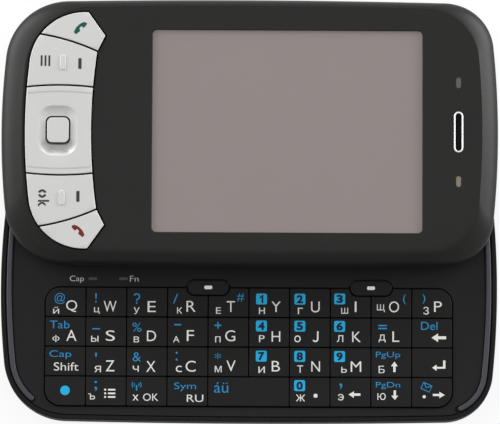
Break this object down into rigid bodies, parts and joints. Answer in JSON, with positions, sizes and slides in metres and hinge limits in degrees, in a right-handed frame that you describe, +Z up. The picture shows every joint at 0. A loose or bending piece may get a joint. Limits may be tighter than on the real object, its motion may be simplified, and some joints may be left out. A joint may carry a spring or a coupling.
{
  "type": "slider phone",
  "caption": "Pocket phone whose screen half slides sideways off a thumb keyboard; shown open on its back.",
  "frame": {"origin": "centre of the open phone's footprint, at its underside", "axes": "+X along the length to the earpiece end, +Y the way the upper half slides open, +Z up through the screen"},
  "size_m": [0.109, 0.0926, 0.0171],
  "materials": {
    "shell": "soft-touch matt charcoal",
    "deck": "matt black",
    "trim": "glossy blue-grey",
    "battery": "plain label-free wrap",
    "board": "solder-resist green",
    "steel": "fine brushed",
    "bezel": "soft-touch matt black",
    "display": "framed glass module",
    "screen": "unlit, satin",
    "chrome": "polished",
    "silicone": "translucent matt",
    "keycap": "matt black with printed legends",
    "silver": "satin silver paint"
  },
  "bodies": {
    "lower_half": {"base_tub": "shell", "keyboard_deck": "deck", "side_trims": "trim", "battery_cover": "shell", "battery": "battery", "main_board": "board", "guide_rails": "steel"},
    "upper_half": {"slide_back": "shell", "slide_bezel": "bezel", "display_module": "display", "touch_screen": "screen", "earpiece": "chrome"},
    "call_key": {"call_key": "silver"},
    "end_key": {"end_key": "silver"},
    "start_rocker": {"start_rocker": "silver"},
    "ok_rocker": {"ok_rocker": "silver"},
    "nav_actuator": {"nav_actuator": "silicone"},
    "nav_pad": {"nav_pad": "silver"},
    "centre_key": {"centre_key": "silver"},
    "soft_key_left": {"soft_key_left": "keycap"},
    "soft_key_right": {"soft_key_right": "keycap"},
    "key_q": {"key_q": "keycap"},
    "key_w": {"key_w": "keycap"},
    "key_e": {"key_e": "keycap"},
    "key_r": {"key_r": "keycap"},
    "key_t": {"key_t": "keycap"},
    "key_y": {"key_y": "keycap"},
    "key_u": {"key_u": "keycap"},
    "key_i": {"key_i": "keycap"},
    "key_o": {"key_o": "keycap"},
    "key_p": {"key_p": "keycap"},
    "key_a": {"key_a": "keycap"},
    "key_s": {"key_s": "keycap"},
    "key_d": {"key_d": "keycap"},
    "key_f": {"key_f": "keycap"},
    "key_g": {"key_g": "keycap"},
    "key_h": {"key_h": "keycap"},
    "key_j": {"key_j": "keycap"},
    "key_k": {"key_k": "keycap"},
    "key_l": {"key_l": "keycap"},
    "key_delete": {"key_delete": "keycap"},
    "key_shift": {"key_shift": "keycap"},
    "key_z": {"key_z": "keycap"},
    "key_x": {"key_x": "keycap"},
    "key_c": {"key_c": "keycap"},
    "key_v": {"key_v": "keycap"},
    "key_b": {"key_b": "keycap"},
    "key_n": {"key_n": "keycap"},
    "key_m": {"key_m": "keycap"},
    "key_up": {"key_up": "keycap"},
    "key_enter": {"key_enter": "keycap"},
    "key_function": {"key_function": "keycap"},
    "key_menu": {"key_menu": "keycap"},
    "key_ok": {"key_ok": "keycap"},
    "key_symbol": {"key_symbol": "keycap"},
    "key_space": {"key_space": "keycap"},
    "key_period": {"key_period": "keycap"},
    "key_left": {"key_left": "keycap"},
    "key_down": {"key_down": "keycap"},
    "key_right": {"key_right": "keycap"}
  },
  "joints": [
    {"name": "display_slide", "type": "slide", "parent": "lower_half", "child": "upper_half", "axis": [0, 1, 0], "range_m": [-0.0336, 0]},
    {"name": "front_call_press", "type": "slide", "parent": "upper_half", "child": "call_key", "axis": [0, 0, -1], "range_m": [0, 0.0003], "stiffness_N_per_m": 800},
    {"name": "front_end_press", "type": "slide", "parent": "upper_half", "child": "end_key", "axis": [0, 0, -1], "range_m": [0, 0.0003], "stiffness_N_per_m": 800},
    {"name": "front_start_rock", "type": "hinge", "parent": "upper_half", "child": "start_rocker", "pos_m": [-0.0409, 0.0308, 0.0146], "axis": [0, 1, 0], "range_deg": [-1.8, 1.8], "stiffness_Nm_per_rad": 0.03},
    {"name": "front_ok_rock", "type": "hinge", "parent": "upper_half", "child": "ok_rocker", "pos_m": [-0.0409, 0.0028, 0.0146], "axis": [0, 1, 0], "range_deg": [-1.8, 1.8], "stiffness_Nm_per_rad": 0.03},
    {"name": "front_nav_tip", "type": "hinge", "parent": "upper_half", "child": "nav_actuator", "pos_m": [-0.042, 0.0168, 0.0146], "axis": [1, 0, 0], "range_deg": [-1.3, 1.3], "stiffness_Nm_per_rad": 0.05},
    {"name": "front_nav_tilt", "type": "hinge", "parent": "nav_actuator", "child": "nav_pad", "pos_m": [-0.042, 0.0168, 0.0152], "axis": [0, 1, 0], "range_deg": [-1.3, 1.3], "stiffness_Nm_per_rad": 0.03},
    {"name": "front_select_press", "type": "slide", "parent": "nav_pad", "child": "centre_key", "axis": [0, 0, -1], "range_m": [0, 0.00025], "stiffness_N_per_m": 800},
    {"name": "soft_key_left_press", "type": "slide", "parent": "lower_half", "child": "soft_key_left", "axis": [0, 0, -1], "range_m": [0, 0.0003], "stiffness_N_per_m": 800},
    {"name": "soft_key_right_press", "type": "slide", "parent": "lower_half", "child": "soft_key_right", "axis": [0, 0, -1], "range_m": [0, 0.0003], "stiffness_N_per_m": 800},
    {"name": "key_q_press", "type": "slide", "parent": "lower_half", "child": "key_q", "axis": [0, 0, -1], "range_m": [0, 0.0003], "stiffness_N_per_m": 800},
    {"name": "key_w_press", "type": "slide", "parent": "lower_half", "child": "key_w", "axis": [0, 0, -1], "range_m": [0, 0.0003], "stiffness_N_per_m": 800},
    {"name": "key_e_press", "type": "slide", "parent": "lower_half", "child": "key_e", "axis": [0, 0, -1], "range_m": [0, 0.0003], "stiffness_N_per_m": 800},
    {"name": "key_r_press", "type": "slide", "parent": "lower_half", "child": "key_r", "axis": [0, 0, -1], "range_m": [0, 0.0003], "stiffness_N_per_m": 800},
    {"name": "key_t_press", "type": "slide", "parent": "lower_half", "child": "key_t", "axis": [0, 0, -1], "range_m": [0, 0.0003], "stiffness_N_per_m": 800},
    {"name": "key_y_press", "type": "slide", "parent": "lower_half", "child": "key_y", "axis": [0, 0, -1], "range_m": [0, 0.0003], "stiffness_N_per_m": 800},
    {"name": "key_u_press", "type": "slide", "parent": "lower_half", "child": "key_u", "axis": [0, 0, -1], "range_m": [0, 0.0003], "stiffness_N_per_m": 800},
    {"name": "key_i_press", "type": "slide", "parent": "lower_half", "child": "key_i", "axis": [0, 0, -1], "range_m": [0, 0.0003], "stiffness_N_per_m": 800},
    {"name": "key_o_press", "type": "slide", "parent": "lower_half", "child": "key_o", "axis": [0, 0, -1], "range_m": [0, 0.0003], "stiffness_N_per_m": 800},
    {"name": "key_p_press", "type": "slide", "parent": "lower_half", "child": "key_p", "axis": [0, 0, -1], "range_m": [0, 0.0003], "stiffness_N_per_m": 800},
    {"name": "key_a_press", "type": "slide", "parent": "lower_half", "child": "key_a", "axis": [0, 0, -1], "range_m": [0, 0.0003], "stiffness_N_per_m": 800},
    {"name": "key_s_press", "type": "slide", "parent": "lower_half", "child": "key_s", "axis": [0, 0, -1], "range_m": [0, 0.0003], "stiffness_N_per_m": 800},
    {"name": "key_d_press", "type": "slide", "parent": "lower_half", "child": "key_d", "axis": [0, 0, -1], "range_m": [0, 0.0003], "stiffness_N_per_m": 800},
    {"name": "key_f_press", "type": "slide", "parent": "lower_half", "child": "key_f", "axis": [0, 0, -1], "range_m": [0, 0.0003], "stiffness_N_per_m": 800},
    {"name": "key_g_press", "type": "slide", "parent": "lower_half", "child": "key_g", "axis": [0, 0, -1], "range_m": [0, 0.0003], "stiffness_N_per_m": 800},
    {"name": "key_h_press", "type": "slide", "parent": "lower_half", "child": "key_h", "axis": [0, 0, -1], "range_m": [0, 0.0003], "stiffness_N_per_m": 800},
    {"name": "key_j_press", "type": "slide", "parent": "lower_half", "child": "key_j", "axis": [0, 0, -1], "range_m": [0, 0.0003], "stiffness_N_per_m": 800},
    {"name": "key_k_press", "type": "slide", "parent": "lower_half", "child": "key_k", "axis": [0, 0, -1], "range_m": [0, 0.0003], "stiffness_N_per_m": 800},
    {"name": "key_l_press", "type": "slide", "parent": "lower_half", "child": "key_l", "axis": [0, 0, -1], "range_m": [0, 0.0003], "stiffness_N_per_m": 800},
    {"name": "key_delete_press", "type": "slide", "parent": "lower_half", "child": "key_delete", "axis": [0, 0, -1], "range_m": [0, 0.0003], "stiffness_N_per_m": 800},
    {"name": "key_shift_press", "type": "slide", "parent": "lower_half", "child": "key_shift", "axis": [0, 0, -1], "range_m": [0, 0.0003], "stiffness_N_per_m": 800},
    {"name": "key_z_press", "type": "slide", "parent": "lower_half", "child": "key_z", "axis": [0, 0, -1], "range_m": [0, 0.0003], "stiffness_N_per_m": 800},
    {"name": "key_x_press", "type": "slide", "parent": "lower_half", "child": "key_x", "axis": [0, 0, -1], "range_m": [0, 0.0003], "stiffness_N_per_m": 800},
    {"name": "key_c_press", "type": "slide", "parent": "lower_half", "child": "key_c", "axis": [0, 0, -1], "range_m": [0, 0.0003], "stiffness_N_per_m": 800},
    {"name": "key_v_press", "type": "slide", "parent": "lower_half", "child": "key_v", "axis": [0, 0, -1], "range_m": [0, 0.0003], "stiffness_N_per_m": 800},
    {"name": "key_b_press", "type": "slide", "parent": "lower_half", "child": "key_b", "axis": [0, 0, -1], "range_m": [0, 0.0003], "stiffness_N_per_m": 800},
    {"name": "key_n_press", "type": "slide", "parent": "lower_half", "child": "key_n", "axis": [0, 0, -1], "range_m": [0, 0.0003], "stiffness_N_per_m": 800},
    {"name": "key_m_press", "type": "slide", "parent": "lower_half", "child": "key_m", "axis": [0, 0, -1], "range_m": [0, 0.0003], "stiffness_N_per_m": 800},
    {"name": "key_up_press", "type": "slide", "parent": "lower_half", "child": "key_up", "axis": [0, 0, -1], "range_m": [0, 0.0003], "stiffness_N_per_m": 800},
    {"name": "key_enter_press", "type": "slide", "parent": "lower_half", "child": "key_enter", "axis": [0, 0, -1], "range_m": [0, 0.0003], "stiffness_N_per_m": 800},
    {"name": "key_function_press", "type": "slide", "parent": "lower_half", "child": "key_function", "axis": [0, 0, -1], "range_m": [0, 0.0003], "stiffness_N_per_m": 800},
    {"name": "key_menu_press", "type": "slide", "parent": "lower_half", "child": "key_menu", "axis": [0, 0, -1], "range_m": [0, 0.0003], "stiffness_N_per_m": 800},
    {"name": "key_ok_press", "type": "slide", "parent": "lower_half", "child": "key_ok", "axis": [0, 0, -1], "range_m": [0, 0.0003], "stiffness_N_per_m": 800},
    {"name": "key_symbol_press", "type": "slide", "parent": "lower_half", "child": "key_symbol", "axis": [0, 0, -1], "range_m": [0, 0.0003], "stiffness_N_per_m": 800},
    {"name": "key_space_press", "type": "slide", "parent": "lower_half", "child": "key_space", "axis": [0, 0, -1], "range_m": [0, 0.0003], "stiffness_N_per_m": 800},
    {"name": "key_period_press", "type": "slide", "parent": "lower_half", "child": "key_period", "axis": [0, 0, -1], "range_m": [0, 0.0003], "stiffness_N_per_m": 800},
    {"name": "key_left_press", "type": "slide", "parent": "lower_half", "child": "key_left", "axis": [0, 0, -1], "range_m": [0, 0.0003], "stiffness_N_per_m": 800},
    {"name": "key_down_press", "type": "slide", "parent": "lower_half", "child": "key_down", "axis": [0, 0, -1], "range_m": [0, 0.0003], "stiffness_N_per_m": 800},
    {"name": "key_right_press", "type": "slide", "parent": "lower_half", "child": "key_right", "axis": [0, 0, -1], "range_m": [0, 0.0003], "stiffness_N_per_m": 800}
  ]
}
